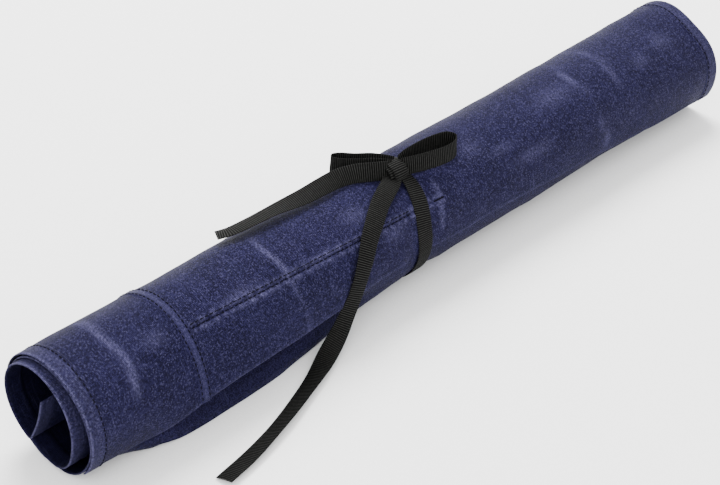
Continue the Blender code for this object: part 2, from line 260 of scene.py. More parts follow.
def puckers(turn, x):
    """The sunk stitch line between two pockets, outwards: a groove, swollen cloth beside it, and
    small gathers across it."""
    across = (turn - divider_turn(x)) * LAP
    gather = gathers(x)
    groove = -0.00060 * ridge(across, 0.0008) * (0.75 + 0.25 * gather)
    swollen = 0.00040 * ridge(np.abs(across) - 0.0019, 0.0011) * (0.45 + 0.55 * gather)
    under_tie = smooth((np.abs(x - tie_x(turn)) - 0.0045) / 0.0015)
    return divider_share(x) * under_tie * (groove + swollen)


def hem_relief(x):
    """The folded hem stands proud, with a sunk line where it is stitched, outwards."""
    from_rim = np.minimum(x - NEAR_X, FAR_X - x)
    stitched = ridge(from_rim - HEM_WIDTH + 0.0012, 0.0005)
    groove = stitched + 0.7 * ridge(from_rim - HEM_WIDTH - 0.0006, 0.0004)
    return HEM_RISE * hem(x) - 0.00012 * groove


def wound(turn, x, level=0.0, relief=True):
    """Points (x, y, z) of the sheet, level under its outer face. The angle runs back from the front
    by one circle a turn; the radius is the envelope less the layers above; and past CORE_LEAVES the
    whole circle shifts towards the upper back, where the core touches."""
    turn, x = np.broadcast_arrays(np.asarray(turn, float), np.asarray(x, float))
    angle = np.pi - 2.0 * np.pi * turn
    depth = layer_depth(turn, x)
    shift = CORE_SHIFT * smooth((turn - CORE_LEAVES) / (CORE_TURN - CORE_LEAVES))
    drawn_in = waist(turn, x)
    radius = envelope(angle, x) + loose_edges(turn, x) - drawn_in - depth - shift - level
    if relief:
        radius = radius + slack(turn, x) + puckers(turn, x) + hem_relief(x) + 0.00016 * creases(turn, x)
    y = shift * math.cos(CORE_DIRECTION) + radius * np.cos(angle)
    z = AXIS_HEIGHT + shift * math.sin(CORE_DIRECTION) + radius * np.sin(angle)
    floor = depth + drawn_in + level
    return np.stack([x - core_slide(turn), y, np.maximum(z, floor)], axis=-1)


def outwards(turn, x):
    """The outer turn's unit normal, from the cross product of its two directions."""
    behind = wound(turn - SLOPE_STEP, x, relief=False)
    round_it = wound(turn + SLOPE_STEP, x, relief=False) - behind
    normal = np.cross((1.0, 0.0, 0.0), round_it)
    return normal / np.linalg.norm(normal, axis=-1, keepdims=True)


# ---------------------------------------------------------------- meshes from arrays

def cells(index):
    """Quads of a grid of vertex numbers, anticlockwise."""
    corners = [index[:-1, :-1], index[:-1, 1:], index[1:, 1:], index[1:, :-1]]
    return np.stack(corners, axis=-1).reshape(-1, 4)


def shell(outer, inner):
    """A closed skin between two grids of the same shape: the outer face, the inner face turned round,
    and a strip round their border. Returns its points and quads."""
    rows, columns = outer.shape[:2]
    count = rows * columns
    index = np.arange(count).reshape(rows, columns)
    border = np.concatenate([index[0], index[1:, -1], index[-1, -2::-1], index[-2::-1, 0]])
    rim = np.stack([border[1:], border[:-1], border[:-1] + count, border[1:] + count], axis=-1)
    quads = np.concatenate([cells(index), cells(index + count)[:, ::-1], rim])
    return np.concatenate([outer.reshape(-1, 3), inner.reshape(-1, 3)]), quads


def facing_out(points, quads):
    """The quads, all turned round if the volume they close is negative."""
    a, b, c, d = (points[quads[:, corner]] for corner in range(4))
    volume = (a * np.cross(b, c)).sum() + (a * np.cross(c, d)).sum()
    return quads if volume > 0.0 else quads[:, ::-1]


def piece(name, points, quads, uv, marks=None, crease_angle=50.0):
    """A mesh object from arrays, with a UV map in metres of cloth and one value per point."""
    quads = facing_out(points, quads)
    mesh = bpy.data.meshes.new(name)
    mesh.vertices.add(len(points))
    mesh.vertices.foreach_set("co", points.astype(np.float32).ravel())
    mesh.loops.add(quads.size)
    mesh.loops.foreach_set("vertex_index", quads.astype(np.int32).ravel())
    mesh.polygons.add(len(quads))
    mesh.polygons.foreach_set("loop_start", np.arange(0, quads.size, 4, dtype=np.int32))
    mesh.update(calc_edges=True)
    layer = mesh.uv_layers.new(name="cloth")
    layer.data.foreach_set("uv", uv[quads.ravel()].astype(np.float32).ravel())
    if marks is not None:
        # Marks per point: rubbed wear and a painted highlight above 0, painted shade below 0
        wear_and_painted_light_marks = mesh.attributes.new("wear_and_painted_light_marks", "FLOAT", "POINT")
        wear_and_painted_light_marks.data.foreach_set("value", marks.astype(np.float32))
    mesh.shade_smooth()
    mesh.set_sharp_from_angle(angle=math.radians(crease_angle))
    made = bpy.data.objects.new(name, mesh)
    bpy.context.scene.collection.objects.link(made)
    return made


def joined(parts):
    """Several (points, quads, uv) as one."""
    starts = np.cumsum([0] + [len(part[0]) for part in parts[:-1]])
    points = np.concatenate([part[0] for part in parts])
    quads = np.concatenate([part[1] + start for part, start in zip(parts, starts)])
    return points, quads, np.concatenate([part[2] for part in parts])


def rounded(distance, radius):
    """Share of the full thickness at a distance from an edge, for an edge rounded to that radius."""
    inside = np.clip(distance / radius, 0.0, 1.0)
    return np.sqrt(np.clip(1.0 - (1.0 - inside) ** 2, 0.09, 1.0))


def spread_between(*stops):
    """Stations from (start, spacing), (next, spacing), ... (last, unused), each stretch evenly."""
    made = []
    for (first, spacing), (last, _) in zip(stops[:-1], stops[1:]):
        count = max(1, round((last - first) / spacing))
        made.append(np.linspace(first, last, count, endpoint=False))
    return np.append(np.concatenate(made), stops[-1][0])


# ---------------------------------------------------------------- canvas, lining, band

def canvas_stations():
    """Closer together on the hems, at the band, along the stitched row and under the ribbon."""
    return spread_between(
        (NEAR_X, 0.00012), (NEAR_X + 0.0006, 0.0009), (NEAR_X + 0.0070, 0.00035),
        (NEAR_X + 0.0100, 0.0022), (BAND_NEAR_X - 0.001, 0.0012), (BAND_FAR_X, 0.00155),
        (0.0080, 0.0026), (0.0300, 0.0036), (FAR_X - 0.0100, 0.00035), (FAR_X - 0.0070, 0.0009),
        (FAR_X - 0.0006, 0.00012), (FAR_X, 0.0),
    )


def canvas_turns(x):
    """Places round the sheet at each station: rounded free edge, then closer at the stitched row."""
    edge = edge_turn(x)[:, None]
    row = divider_turn(np.clip(x, BAND_FAR_X, DIVIDER_END_X))[:, None]
    near = 0.0045 / LAP

    def stretch(first, last, count):
        return first + (last - first) * np.linspace(0.0, 1.0, count, endpoint=False)[None, :]

    return np.concatenate([
        stretch(edge, edge + 0.0008 / LAP, 4),
        stretch(edge + 0.0008 / LAP, row - near, 22),
        stretch(row - near, row + near, 16),
        stretch(row + near, 0 * row + 1.15, 74),
        stretch(0 * row + 1.15, 0 * row + CORE_END, 56),
        0 * row + CORE_END,
    ], axis=1)


def flap(last, before, count):
    """The folded inner end: a small arc that turns back from the sheet's last direction, then
    straight across the hollow."""
    way = last - before
    heading = np.arctan2(way[:, 2], way[:, 1])[:, None]
    arc = np.linspace(0.0, FLAP_TURN, 7)[None, 1:]
    centre_y = last[:, 1:2] + FLAP_RADIUS * np.sin(heading)
    centre_z = last[:, 2:3] - FLAP_RADIUS * np.cos(heading)
    y = centre_y - FLAP_RADIUS * np.sin(heading - arc)
    z = centre_z + FLAP_RADIUS * np.cos(heading - arc)
    away = heading - FLAP_TURN
    reach = FLAP_LENGTH * np.linspace(0.0, 1.0, count)[None, 1:]
    bend = 0.0012 * np.sin(np.pi * reach / FLAP_LENGTH)
    y = np.concatenate([y, y[:, -1:] + reach * np.cos(away) - bend * np.sin(away)], axis=1)
    z = np.concatenate([z, z[:, -1:] + reach * np.sin(away) + bend * np.cos(away)], axis=1)
    x = np.repeat(last[:, :1], y.shape[1], axis=1)
    return np.stack([x, y, z], axis=-1)


def inward(points):
    """Unit vectors square to the sheet in the (y, z) plane, towards the inside of the roll."""
    way = np.gradient(points[..., 1:], axis=1)
    way /= np.maximum(np.linalg.norm(way, axis=-1, keepdims=True), 1e-9)
    return np.stack([0 * way[..., 0], way[..., 1], -way[..., 0]], axis=-1)


def run_round(middle):
    """Distance round the sheet from its free edge to each point: the sum of the steps in (y, z)."""
    steps = np.linalg.norm(np.diff(middle[..., 1:], axis=1), axis=-1)
    return np.concatenate([np.zeros((len(middle), 1)), np.cumsum(steps, axis=1)], axis=1)


def cloth_map(run, across):
    """The sheet's flat coordinates in metres: round it, and along the roll."""
    return np.stack([run, np.repeat(across, run.shape[1], axis=1)], axis=-1).reshape(-1, 2)


def rolled_canvas(look):
    """The outer sheet. Middle surface = wound() half a thickness in, then the flap; both faces stand
    half a thickness off it, less where the rims and the free edge round off."""
    x = canvas_stations()
    turns = canvas_turns(x)
    across = x[:, None]
    thickness = CLOTH + 0.00035 * hem(across)
    middle = wound(turns, across)
    flap_part = flap(middle[:, -1], middle[:, -2], 16)
    middle = np.concatenate([middle, flap_part], axis=1)
    run = run_round(middle)
    from_edge = np.minimum(run, run[:, -1:] - run)
    from_rim = np.minimum(across - NEAR_X, FAR_X - across)
    half = 0.5 * thickness * rounded(from_rim, 0.0005) * rounded(from_edge, 0.0004)
    square = inward(middle)
    centre = middle + square * 0.5 * thickness[..., None]
    outer = centre - square * half[..., None]
    inner = centre + square * half[..., None]
    outer[..., 2] = np.maximum(outer[..., 2], 0.0)
    inner[..., 2] = np.maximum(inner[..., 2], 0.00002)
    points, quads = shell(outer, inner)
    uv = cloth_map(run, across)
    marks = wear_and_painted_light(turns, across, flap_part.shape[1], from_rim, run)
    made = piece("rolled_canvas", points, quads, np.concatenate([uv, uv + 0.37]), marks)
    made.data.materials.append(look)
    return made, float(run[:, -1].mean())


def wear_and_painted_light(turns, across, flap_columns, from_rim, run):
    """Where the cloth is paler, 0 to 1: rubbed creases and scuffs, a lighter line along the rims and the
    free edge, and a painted highlight on the gathers beside the stitched row. The inner face gets the same
    less 1, which the cloth turns into painted shade inside the roll, and the strip under the free edge gets
    painted shade, deepest in the dent and lifted a little along the crest of the layer spread out below it."""
    # Painted highlight on the swollen gathers beside the stitched row, added to the rubbed creases and
    # scuffs
    row = ridge(np.abs(turns - divider_turn(across)) * LAP - 0.0016, 0.0012) * divider_share(across)
    light = creases(turns, across) + 0.32 * scuffs(turns, across) + 0.60 * row * gathers(across)
    light = np.concatenate([light, np.zeros((len(light), flap_columns))], axis=1)
    light = light + 0.70 * ridge(from_rim, 0.0011) + 0.35 * ridge(run, 0.0012)
    light = light + 0.22 * ridge(from_rim - 0.0045, 0.0030)
    # Painted shade on the strip under the free edge: darkest in the dent, a little lighter on the spread
    # layer's crest
    painted_shade = np.zeros_like(light)
    shade = along_edge(DENT_DEPTH, across) / max(DENT_DEPTH)
    dark = ridge(turns - DENT_MIDDLE, 0.040) - 0.30 * ridge(turns - 0.845, 0.018)
    painted_shade[:, :turns.shape[1]] = shade * dark
    one_face = (np.clip(light, 0.0, 1.0) - painted_shade).ravel()
    # The inner face gets the same less 1: painted shade inside the roll
    return np.concatenate([one_face, one_face - 1.0])


def pocket_lining(look):
    """The sheet inside the canvas that forms the pockets, against its inner face."""
    x = spread_between(
        (BAND_NEAR_X + 0.001, 0.0030), (POCKET_MOUTH_X - 0.0012, 0.0003), (POCKET_MOUTH_X, 0.0),
    )
    first = edge_turn(x)[:, None] + 0.05
    turns = first + (CORE_END - 0.06 - first) * np.linspace(0.0, 1.0, 170)[None, :]
    across = x[:, None]
    middle = wound(turns, across, relief=False)
    run = run_round(middle)
    square = inward(middle)
    from_end = np.minimum(across - x[0], x[-1] - across) + 0 * run
    half = 0.5 * LINING * rounded(from_end, 0.0003)[..., None]
    centre = middle + square * (CLOTH + 0.00003 + 0.5 * LINING)
    points, quads = shell(centre - square * half, centre + square * half)
    uv = cloth_map(run, across)
    made = piece("pocket_lining", points, quads, np.concatenate([uv, uv]), np.zeros(len(points)))
    made.data.materials.append(look)
    return made, float(run[:, -1].mean())


def band_tape(look):
    """The tape sewn round the outside: a low, flat-topped rise, pulled down along both stitch rows."""
    first = edge_turn(np.array([BAND_NEAR_X]))[0] + 0.004
    turns = first + (ROW_END - first) * np.linspace(0.0, 1.0, 170)[:, None]
    share = np.linspace(-1.0, 1.0, 17)[None, :]
    middle_x = (BAND_NEAR_X + BAND_FAR_X) / 2.0
    half_width = (BAND_FAR_X - BAND_NEAR_X) / 2.0
    across = middle_x + half_width * share + 0.00012 * np.sin(turns * LAP / 0.0042)
    edges = rounded(half_width * (1.0 - np.abs(share)), 0.0006)
    rise = BAND_RISE * (edges - 0.62 * ridge(np.abs(share) - 0.70, 0.14))
    rise = rise * (0.92 + 0.08 * np.sin(turns * LAP / 0.0013))
    out = outwards(turns, across)
    base = wound(turns, across)
    points, quads = shell(base + out * rise[..., None], base - out * 0.00015)
    uv = np.stack([turns * LAP + 0 * share, across], axis=-1).reshape(-1, 2)
    light = (0.10 + 0.30 * ridge(share + 0 * turns, 0.40)).ravel()
    made = piece("band_tape", points, quads, np.concatenate([uv, uv]), np.concatenate([light, light]))
    made.data.materials.append(look)
    return made


# ---------------------------------------------------------------- stitches

def stitches(places, along, out, length, radius):
    """Small rounded stitches: rings of six points along an arch that dips into the cloth at both
    ends, with flat caps. One row of each array per stitch."""
    share = np.array([-1.0, -0.72, 0.0, 0.72, 1.0])
    swell = np.array([0.45, 0.95, 1.0, 0.95, 0.45]) * radius
    rise = radius * (0.75 - 1.5 * share ** 4)
    side = np.cross(out, along)
    turned = np.linspace(0.0, 2.0 * np.pi, 6, endpoint=False)
    middle = places[:, None] + along[:, None] * (share * length / 2)[None, :, None]
    middle = middle + out[:, None] * rise[None, :, None]
    ring = side[:, None] * np.cos(turned)[None, :, None] + out[:, None] * np.sin(turned)[None, :, None]
    points = middle[:, :, None] + ring[:, None] * swell[None, :, None, None]
    per_stitch = len(share) * len(turned)
    index = np.arange(per_stitch).reshape(len(share), len(turned))
    around = np.stack([index[:-1], np.roll(index, -1, 1)[:-1], np.roll(index, -1, 1)[1:], index[1:]], -1)
    caps = np.array([(0, 3, 2, 1), (0, 5, 4, 3), (24, 25, 26, 27), (24, 27, 28, 29)])
    quads = np.concatenate([around.reshape(-1, 4), caps])
    starts = per_stitch * np.arange(len(places))[:, None, None]
    flat = np.broadcast_arrays(share[None, :, None] * length / 2, turned[None, None, :] * radius)
    uv = np.broadcast_to(np.stack(flat, -1), (len(places), *index.shape, 2)).reshape(-1, 2)
    return points.reshape(-1, 3), (quads[None] + starts).reshape(-1, 4), uv


def stitch_row(turn, x, height, ahead, length, radius):
    """Stitches at places (turn, x), height off the outer face, lying along the step ahead = (turn, x)."""
    out = outwards(turn, x)
    places = wound(turn, x) + out * height
    behind = wound(turn - ahead[0], x - ahead[1], relief=False)
    along = wound(turn + ahead[0], x + ahead[1], relief=False) - behind
    along = along - out * (along * out).sum(-1, keepdims=True)
    along /= np.linalg.norm(along, axis=-1, keepdims=True)
    return stitches(places, along, out, length, radius)


def ring_places(x):
    """Evenly spaced places round the outer turn at x, from the free edge, wandering a little."""
    first = edge_turn(np.array([x]))[0] + 0.006
    count = round((ROW_END - first) * LAP / STITCH_SPACING)
    turn = first + (ROW_END - first) * (np.arange(count) + 0.5) / count
    return turn, np.full(count, x) + 0.00010 * np.sin(turn * 31.0)


def stitch_piece(name, parts, look):
    points, quads, uv = joined(parts)
    made = piece(name, points, quads, uv)
    made.data.materials.append(look)
    return made


def ring_stitches(name, x, height, look):
    """A row that runs round the outer turn."""
    turn, at = ring_places(x)
    return stitch_piece(name, [stitch_row(turn, at, height, (0.004, 0.0), 0.0021, THREAD_RADIUS)], look)


def divider_places(offset, degrees_shift):
    """Places along the stitched row between two pockets, offset across it in metres."""
    count = round((TIE_X - 0.0065 - BAND_FAR_X) / STITCH_SPACING)
    x = BAND_FAR_X + 0.001 + (TIE_X - 0.0075 - BAND_FAR_X) * (np.arange(count) + 0.5) / count
    turn = divider_turn(x) + offset / LAP + degrees_shift / 360.0
    return turn, x


def divider_stitches(name, degrees_shift, look):
    """The double row between two pockets."""
    parts = []
    for offset in (-0.0002, 0.0016):
        turn, x = divider_places(offset, degrees_shift)
        parts.append(stitch_row(turn, x, 0.0, (0.0, 0.001), 0.0022, 0.00024))
    return stitch_piece(name, parts, look)


def bar_tack(look):
    """The tack at the pocket's mouth: close stitches side by side, slightly fanned."""
    x = np.linspace(0.0001, DIVIDER_END_X, TACK_STITCHES)
    row = stitch_row(divider_turn(x), x, 0.00006, (0.003, 0.0011), 0.0012, THREAD_RADIUS)
    return stitch_piece("pocket_tack", [row], look)


# ---------------------------------------------------------------- ribbon

def smooth_path(points, spacing):
    """Points about spacing apart on a centripetal Catmull-Rom curve through the given ones: each
    stretch is blended from lines through its four neighbours, on knots at the root of the distances."""
    given = np.array(points, dtype=float)
    padded = np.vstack([2 * given[0] - given[1], given, 2 * given[-1] - given[-2]])
    near = np.stack([padded[k:len(padded) - 3 + k] for k in range(4)], axis=1)
    gaps = np.sqrt(np.linalg.norm(np.diff(near[..., :3], axis=1), axis=2))
    knots = np.concatenate([np.zeros((len(gaps), 1)), np.cumsum(gaps, axis=1)], axis=1)[:, :, None, None]
    share = np.linspace(0.0, 1.0, 24, endpoint=False)[None, :, None]
    t = knots[:, 1] + share * (knots[:, 2] - knots[:, 1])
    p = near[:, :, None, :]

    def between(low, high, first, second):
        blend = (knots[:, high] - t) * first + (t - knots[:, low]) * second
        return blend / (knots[:, high] - knots[:, low])

    a = [between(k, k + 1, p[:, k], p[:, k + 1]) for k in range(3)]
    b = [between(k, k + 2, a[k], a[k + 1]) for k in range(2)]
    dense = np.vstack([between(1, 2, b[0], b[1]).reshape(-1, given.shape[1]), given[-1]])
    run = np.concatenate([[0.0], np.cumsum(np.linalg.norm(np.diff(dense[:, :3], axis=0), axis=1))])
    at = np.linspace(0.0, run[-1], max(8, round(run[-1] / spacing) + 1))
    return np.column_stack([np.interp(at, run, dense[:, axis]) for axis in range(dense.shape[1])]), at


def ribbon_strip(route, width=RIBBON_WIDTH, cup=0.0):
    """A ribbed flat ribbon along a route of (x, y, z, facing direction). Across its width the faces
    follow a shallow arch (cup) and round off at both edges; along it they rise and fall once a rib."""
    path, run = smooth_path(route, RIB_PITCH / 5.0)
    centre = path[:, :3]
    along = np.gradient(centre, axis=0)
    along /= np.linalg.norm(along, axis=1, keepdims=True)
    side = np.cross(along, path[:, 3:])
    side /= np.linalg.norm(side, axis=1, keepdims=True)
    facing = np.cross(side, along)
    share = np.array([-1.0, -0.97, -0.88, -0.6, -0.3, 0.0, 0.3, 0.6, 0.88, 0.97, 1.0])[None, :]
    rib = 0.5 + 0.5 * np.cos(2.0 * np.pi * run / RIB_PITCH)[:, None]
    half_width = (width / 2.0) * (1.0 - 0.014 * (1.0 - rib))
    thick = 0.5 * RIBBON_THICKNESS * (0.72 + 0.34 * rib * ridge(share, 1.1))
    thick = thick * rounded((1.0 - np.abs(share)) * half_width, 0.00035)
    lean = cup * (1.0 - share ** 2) + 0.00012 * np.sin(run / 0.0065)[:, None] * share
    middle = centre[:, None] + side[:, None] * (half_width * share)[..., None]
    middle = middle + facing[:, None] * lean[..., None]
    offset = facing[:, None] * thick[..., None]
    points, quads = shell(middle + offset, middle - offset)
    uv = np.stack(np.broadcast_arrays(run[:, None], share * width / 2.0), axis=-1).reshape(-1, 2)
    return (points, quads, np.concatenate([uv, uv])), centre, float(run[-1])


def ribbon_piece(name, route, look, **shape):
    part, centre, length = ribbon_strip(route, **shape)
    made = piece(name, *part, crease_angle=70.0)
    made.data.materials.append(look)
    return made, centre, length


def in_metres(route):
    return [(x / 1000.0, y / 1000.0, z / 1000.0, *facing) for x, y, z, *facing in route]


# Routes as they lie: x, y, z in millimetres, then the direction that the ribbon's face looks in
TAIL_FRONT = (
    (-12.8, -7.4, 58.6, -0.1, -0.3, 0.95),
    (-17.2, -10.5, 57.7, -0.1, -0.42, 0.9),
    (-23.4, -13.3, 56.7, -0.1, -0.48, 0.87),
    (-30.0, -15.9, 54.4, -0.1, -0.55, 0.83),
    (-38.8, -20.8, 50.6, -0.1, -0.7, 0.7),
    (-45.8, -24.6, 46.4, -0.1, -0.83, 0.55),
    (-52.1, -28.3, 39.9, -0.1, -0.93, 0.35),
    (-57.2, -30.3, 32.9, -0.1, -0.99, 0.1),
    (-61.6, -30.8, 25.4, -0.1, -0.99, 0.0),
    (-66.7, -30.8, 17.8, -0.15, -0.95, 0.2),
    (-73.0, -31.5, 10.4, -0.2, -0.8, 0.55),
    (-82.4, -33.9, 5.2, -0.2, -0.4, 0.88),
    (-94.8, -38.8, 2.9, -0.15, 0.1, 0.97),
    (-109.1, -44.2, 2.4, -0.12, 0.33, 0.93),
    (-123.8, -49.5, 2.4, -0.12, 0.37, 0.92),
    (-138.5, -53.8, 2.2, -0.1, 0.33, 0.94),
    (-153.3, -57.3, 1.9, -0.08, 0.27, 0.96),
    (-170.2, -59.9, 1.6, -0.06, 0.2, 0.98),
)
TAIL_LEFT = (
    (-12.4, -5.9, 60.4, 0.15, -0.93, 0.35),
    (-17.0, -4.7, 61.6, 0.15, -0.95, 0.28),
    (-21.4, -2.2, 61.9, 0.15, -0.92, 0.36),
    (-28.0, 2.6, 61.8, 0.1, -0.8, 0.6),
    (-35.6, 5.5, 61.6, 0.1, -0.68, 0.72),
    (-45.1, 6.3, 61.4, 0.05, -0.5, 0.85),
    (-56.6, 7.0, 60.8, 0.0, -0.28, 0.96),
    (-73.4, 9.1, 60.4, 0.0, 0.05, 1.0),
    (-89.5, 10.6, 59.8, 0.0, 0.18, 0.98),
    (-98.4, 12.1, 59.2, 0.0, 0.22, 0.97),
    (-104.1, 15.3, 58.2, 0.0, 0.24, 0.97),
)
LOOP_RIGHT = (
    (-6.2, -6.9, 59.9, -0.35, -0.93, 0.12),
    (-1.2, -9.6, 60.1, -0.35, -0.93, 0.12),
    (8.0, -13.0, 60.2, -0.2, -0.97, 0.12),
    (17.0, -15.0, 60.3, 0.0, -0.99, 0.12),
    (23.0, -14.6, 60.7, 0.6, -0.8, 0.1),
    (26.4, -11.4, 61.0, 1.0, 0.1, 0.0),
    (24.6, -7.8, 61.4, 0.4, 0.9, -0.1),
    (17.8, -5.8, 61.9, 0.15, 0.98, -0.12),
    (9.1, -4.8, 62.0, 0.05, 0.99, -0.12),
    (-1.6, -5.0, 61.9, 0.0, 0.99, -0.12),
    (-5.6, -5.2, 61.0, 0.0, 0.99, -0.12),
)
LOOP_LEFT = (
    (-11.4, -4.6, 60.5, -0.75, -0.62, 0.2),
    (-18.2, 0.6, 62.0, -0.75, -0.62, 0.2),
    (-21.4, 3.6, 61.8, -0.75, -0.62, 0.2),
    (-24.8, 7.6, 61.4, -0.75, -0.62, 0.2),
    (-28.4, 13.0, 60.9, -0.85, -0.45, 0.2),
    (-29.4, 17.2, 60.6, -0.9, 0.3, 0.1),
    (-27.2, 19.0, 60.6, -0.1, 1.0, 0.0),
    (-24.4, 16.4, 60.8, 0.75, 0.6, -0.15),
    (-20.6, 10.0, 61.4, 0.75, 0.62, -0.2),
    (-15.2, 3.2, 62.1, 0.75, 0.62, -0.2),
    (-8.8, -3.4, 60.6, 0.75, 0.62, -0.2),
)
KNOT_CENTRE = np.array((-0.0098, -0.0055, 0.0590))
KNOT_LEAN = math.radians(17)


def wrap_route():
    """Once round the roll in the waist: from the knot down the front, under, and up the back. It
    lifts off the cloth near the knot at both ends."""
    degrees = np.linspace(WRAP_START, WRAP_END, 72)
    turn = (180.0 - degrees) / 360.0
    down_front = smooth((degrees - 112.0) / 60.0)
    x = TIE_X + 0.0036 - 0.0052 * down_front - 0.0010 * smooth((degrees - 200.0) / 120.0)
    x = x + 0.0030 * smooth((degrees - 400.0) / 50.0)
    near_knot = ridge(degrees - WRAP_START, 16.0) + ridge(degrees - WRAP_END, 14.0)
    stand = 0.5 * RIBBON_THICKNESS + 0.00012 + 0.0011 * near_knot
    angle = np.radians(degrees)
    radius = ROLL_RADIUS - WAIST_DEPTH + stand
    y = radius * np.cos(angle)
    z = np.maximum(AXIS_HEIGHT + radius * np.sin(angle), 0.5 * RIBBON_THICKNESS + 0.0001)
    lean = 0.35 * ridge(degrees - WRAP_START, 22.0)
    return np.column_stack([x, y, z, lean, np.cos(angle), np.sin(angle)])


def leaning(x, y, z):
    """Rows (x, y, z) turned about X by the lean of the roll's surface at the knot."""
    cosine, sine = math.cos(KNOT_LEAN), math.sin(KNOT_LEAN)
    return np.column_stack([x, y * cosine - z * sine, y * sine + z * cosine])


def knot_band_route(width_shift, radius_y, radius_z, first, last):
    """A strand that goes over the knot from back to front: part of an ellipse in a plane across the
    roll, leaning with the roll's surface."""
    angle = np.radians(np.linspace(first, last, 15))
    cosine, sine = np.cos(angle), np.sin(angle)
    points = KNOT_CENTRE + leaning(width_shift + 0.0004 * cosine, radius_y * cosine, radius_z * sine)
    facing = leaning(0 * angle, cosine / radius_y, sine / radius_z)
    facing /= np.linalg.norm(facing, axis=1, keepdims=True)
    return np.column_stack([points, facing])


def bow_knot(look):
    """The knot: a band over the top, one tucked beside it, and crushed ribbon inside them."""
    parts = [
        ribbon_strip(knot_band_route(0.0, 0.0056, 0.0042, -28.0, 205.0), width=0.0088, cup=0.0003)[0],
        ribbon_strip(knot_band_route(-0.0008, 0.0043, 0.0031, -40.0, 220.0), width=0.0104, cup=0.0004)[0],
        ribbon_strip(knot_band_route(0.0006, 0.0030, 0.0020, -60.0, 240.0), width=0.0110, cup=0.0003)[0],
    ]
    points, quads, uv = joined(parts)
    made = piece("bow_knot_wound", points, quads, uv, crease_angle=70.0)
    made.data.materials.append(look)
    return made


# ---------------------------------------------------------------- materials

def linked(tree, kind, inputs=(), **settings):
    """A new node with its settings, and its inputs given as sockets to link or as plain values."""
    node = tree.nodes.new(kind)
    for name, value in settings.items():
        setattr(node, name, value)
    for socket, value in dict(inputs).items():
        if isinstance(value, bpy.types.NodeSocket):
            tree.links.new(value, node.inputs[socket])
        else:
            node.inputs[socket].default_value = value
    return node


def calc(tree, operation, first, second=0.0):
    return linked(tree, "ShaderNodeMath", {0: first, 1: second}, operation=operation).outputs[0]


def ramp(tree, value, low, high, to_low=0.0, to_high=1.0):
    """Maps low..high to to_low..to_high, held at both ends."""
    inputs = {"Value": value, "From Min": low, "From Max": high, "To Min": to_low, "To Max": to_high}
    return linked(tree, "ShaderNodeMapRange", inputs).outputs[0]


def product(tree, *values):
    """All the values multiplied together."""
    total = values[0]
    for value in values[1:]:
        total = calc(tree, "MULTIPLY", total, value)
    return total


def mixed(tree, share, first, second):
    """Two colours mixed by share."""
    return linked(tree, "ShaderNodeMix", {0: share, 6: first, 7: second}, data_type="RGBA").outputs[2]


def blended(tree, share, first, second):
    """Two numbers mixed by share."""
    return linked(tree, "ShaderNodeMix", {0: share, 2: first, 3: second}, data_type="FLOAT").outputs[0]


def vector(tree, operation, inputs):
    return linked(tree, "ShaderNodeVectorMath", inputs, operation=operation).outputs[0]


def group(name, inputs, outputs):
    """An empty node group with named sockets; returns (group, its input node, its output node)."""
    made = bpy.data.node_groups.new(name, "ShaderNodeTree")
    for label, kind in inputs:
        made.interface.new_socket(label, in_out="INPUT", socket_type=kind)
    for label, kind in outputs:
        made.interface.new_socket(label, in_out="OUTPUT", socket_type=kind)
    return made, made.nodes.new("NodeGroupInput"), made.nodes.new("NodeGroupOutput")


def placed(tree, shared, inputs):
    node = tree.nodes.new("ShaderNodeGroup")
    node.node_tree = shared
    for label, value in inputs.items():
        if isinstance(value, bpy.types.NodeSocket):
            tree.links.new(value, node.inputs[label])
        else:
            node.inputs[label].default_value = value
    return node


def weave_group():
    """Plain weave on a UV map in metres: two sets of threads, one over the other in turn, each a
    half sine across, with a random value for every crossing and for every thread."""
    tree, given, out = group(
        "plain_weave",
        [("Vector", "NodeSocketVector"), ("Threads per metre", "NodeSocketFloat"),
         ("Wander", "NodeSocketFloat")],
        [("Height", "NodeSocketFloat"), ("Crossing", "NodeSocketFloat"), ("Thread", "NodeSocketFloat")],
    )
    drift = linked(tree, "ShaderNodeTexNoise", {"Vector": given.outputs[0], "Scale": 260.0, "Detail": 2.0})
    centred = vector(tree, "SUBTRACT", {0: drift.outputs["Color"], 1: (0.5, 0.5, 0.5)})
    pushed = vector(tree, "SCALE", {0: centred, "Scale": given.outputs[2]})
    counted = vector(tree, "SCALE", {0: given.outputs[0], "Scale": given.outputs[1]})
    threads = vector(tree, "ADD", {0: counted, 1: pushed})
    parts = linked(tree, "ShaderNodeSeparateXYZ", {0: threads})
    u, v = parts.outputs[0], parts.outputs[1]
    across_u = calc(tree, "SINE", calc(tree, "MULTIPLY", calc(tree, "FRACT", u), math.pi))
    across_v = calc(tree, "SINE", calc(tree, "MULTIPLY", calc(tree, "FRACT", v), math.pi))
    row, column = calc(tree, "FLOOR", u), calc(tree, "FLOOR", v)
    over = calc(tree, "PINGPONG", calc(tree, "ADD", row, column), 1.0)
    warp = calc(tree, "MULTIPLY", across_u, ramp(tree, across_v, 0.0, 1.0, 0.5, 1.0))
    weft = calc(tree, "MULTIPLY", across_v, ramp(tree, across_u, 0.0, 1.0, 0.5, 1.0))
    high = blended(tree, over, warp, weft)
    spot = linked(tree, "ShaderNodeCombineXYZ", {0: row, 1: column})
    crossing = linked(tree, "ShaderNodeTexWhiteNoise", {"Vector": spot.outputs[0]}, noise_dimensions="2D")
    by_row = linked(tree, "ShaderNodeTexWhiteNoise", {"W": row}, noise_dimensions="1D")
    by_column = linked(tree, "ShaderNodeTexWhiteNoise", {"W": column}, noise_dimensions="1D")
    thread = blended(tree, over, by_row.outputs[0], by_column.outputs[0])
    tree.links.new(high, out.inputs["Height"])
    tree.links.new(crossing.outputs[0], out.inputs["Crossing"])
    tree.links.new(thread, out.inputs["Thread"])
    return tree


